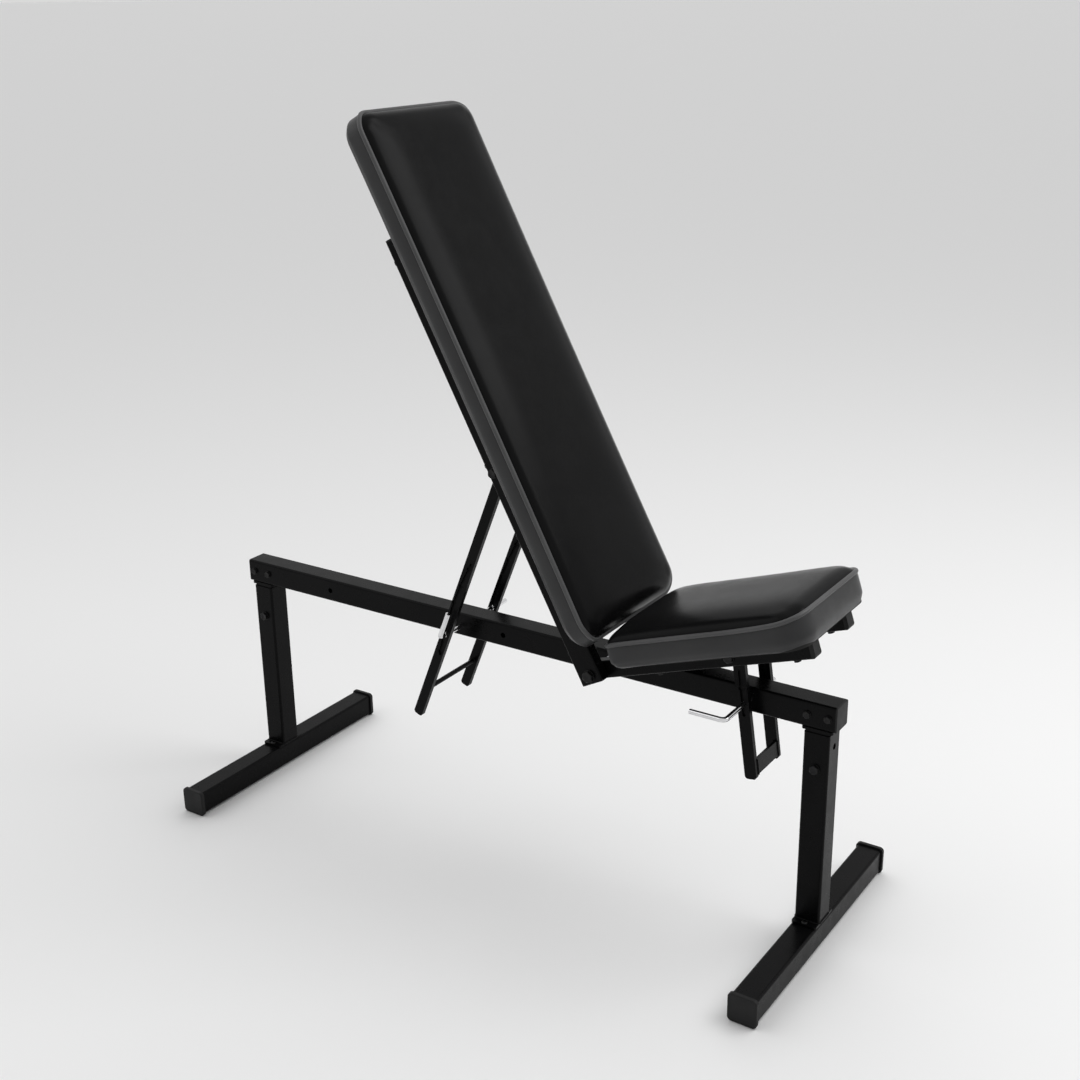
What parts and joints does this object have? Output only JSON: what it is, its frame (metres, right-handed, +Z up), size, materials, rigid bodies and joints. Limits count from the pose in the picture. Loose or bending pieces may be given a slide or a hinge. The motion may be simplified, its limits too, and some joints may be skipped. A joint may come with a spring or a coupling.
{
  "type": "adjustable weight bench",
  "caption": "Free-standing weight bench: padded backrest and seat tilt on a square-tube frame, each held by a ladder strut and a pull-out lock pin.",
  "frame": {"origin": "on the floor, midway between the two posts and on the centre plane", "axes": "+X from the backrest end to the seat end, +Y to the left of somebody who sits on the bench, +Z up"},
  "size_m": [1.135, 0.472, 1.2068],
  "materials": {
    "black_powder_coat": "satin",
    "black_plastic": "matte",
    "black_oxide_steel": "satin",
    "zinc_steel": "satin",
    "chrome": "polished",
    "vinyl_upholstery": "satin",
    "pad_board": "matte"
  },
  "bodies": {
    "frame": {"main_beam": "black_powder_coat", "rear_beam_plug": "black_plastic", "front_beam_plug": "black_plastic", "rear_leg_head": "black_powder_coat", "front_leg_head": "black_powder_coat", "rear_post": "black_powder_coat", "front_post": "black_powder_coat", "rear_foot_plate": "black_powder_coat", "front_foot_plate": "black_powder_coat", "rear_foot": "black_powder_coat", "front_foot": "black_powder_coat", "rear_right_foot_cap": "black_plastic", "rear_left_foot_cap": "black_plastic", "front_right_foot_cap": "black_plastic", "front_left_foot_cap": "black_plastic", "leg_head_bolts": "black_oxide_steel", "leg_head_nuts": "black_oxide_steel", "post_bolts": "black_oxide_steel", "post_nuts": "black_oxide_steel", "foot_screws": "black_oxide_steel", "pivot_bolt": "black_oxide_steel", "pivot_nut": "black_oxide_steel", "pivot_spacers": "zinc_steel", "pivot_washers": "zinc_steel"},
    "backrest": {"backrest_rail_right": "black_powder_coat", "backrest_rail_left": "black_powder_coat", "backrest_rail_plugs": "black_plastic", "backrest_lower_tie": "black_powder_coat", "backrest_upper_tie": "black_powder_coat", "backrest_bolts": "black_oxide_steel", "backrest_board": "pad_board", "backrest_pad": "vinyl_upholstery", "strut_hinge_bolt": "black_oxide_steel", "strut_hinge_nut": "black_oxide_steel", "strut_hinge_spacer": "zinc_steel", "strut_hinge_washers": "zinc_steel"},
    "backrest_strut": {"strut_bar_right": "black_powder_coat", "strut_bar_left": "black_powder_coat", "strut_cross_rod": "black_powder_coat"},
    "seat": {"seat_rail_left": "black_powder_coat", "seat_rail_right": "black_powder_coat", "seat_rail_plugs": "black_plastic", "seat_ties": "black_powder_coat", "seat_bolts": "black_oxide_steel", "seat_board": "pad_board", "seat_pad": "vinyl_upholstery", "seat_hinge_bolt": "black_oxide_steel", "seat_hinge_nut": "black_oxide_steel", "seat_hinge_spacers": "zinc_steel"},
    "seat_strut": {"seat_strut_bar_right": "black_powder_coat", "seat_strut_bar_left": "black_powder_coat", "seat_strut_plate": "black_powder_coat"},
    "rear_lock_pin": {"rear_lock_pin": "chrome"},
    "front_lock_pin": {"front_lock_pin": "chrome"}
  },
  "joints": [
    {"name": "backrest_tilt", "type": "hinge", "parent": "frame", "child": "backrest", "pos_m": [0.2, 0, 0.396], "axis": [0, 1, 0], "range_deg": [-30, 8]},
    {"name": "backrest_strut_swing", "type": "hinge", "parent": "backrest", "child": "backrest_strut", "pos_m": [0.03343, 0, 0.68798], "axis": [0, 1, 0], "range_deg": [-3, 9]},
    {"name": "seat_tilt", "type": "hinge", "parent": "frame", "child": "seat", "pos_m": [0.2, 0, 0.396], "axis": [0, -1, 0], "range_deg": [-13, 4]},
    {"name": "seat_strut_swing", "type": "hinge", "parent": "seat", "child": "seat_strut", "pos_m": [0.41956, 0, 0.46989], "axis": [0, -1, 0], "range_deg": [-2.5, 7]},
    {"name": "rear_pin_pull", "type": "slide", "parent": "frame", "child": "rear_lock_pin", "axis": [0, -1, 0], "range_m": [0, 0.18]},
    {"name": "front_pin_pull", "type": "slide", "parent": "frame", "child": "front_lock_pin", "axis": [0, -1, 0], "range_m": [0, 0.11]}
  ],
  "couplings": [
    {"joint": "backrest_strut_swing", "follows": "backrest_tilt", "ratio": -0.295},
    {"joint": "seat_strut_swing", "follows": "seat_tilt", "ratio": -0.5}
  ]
}
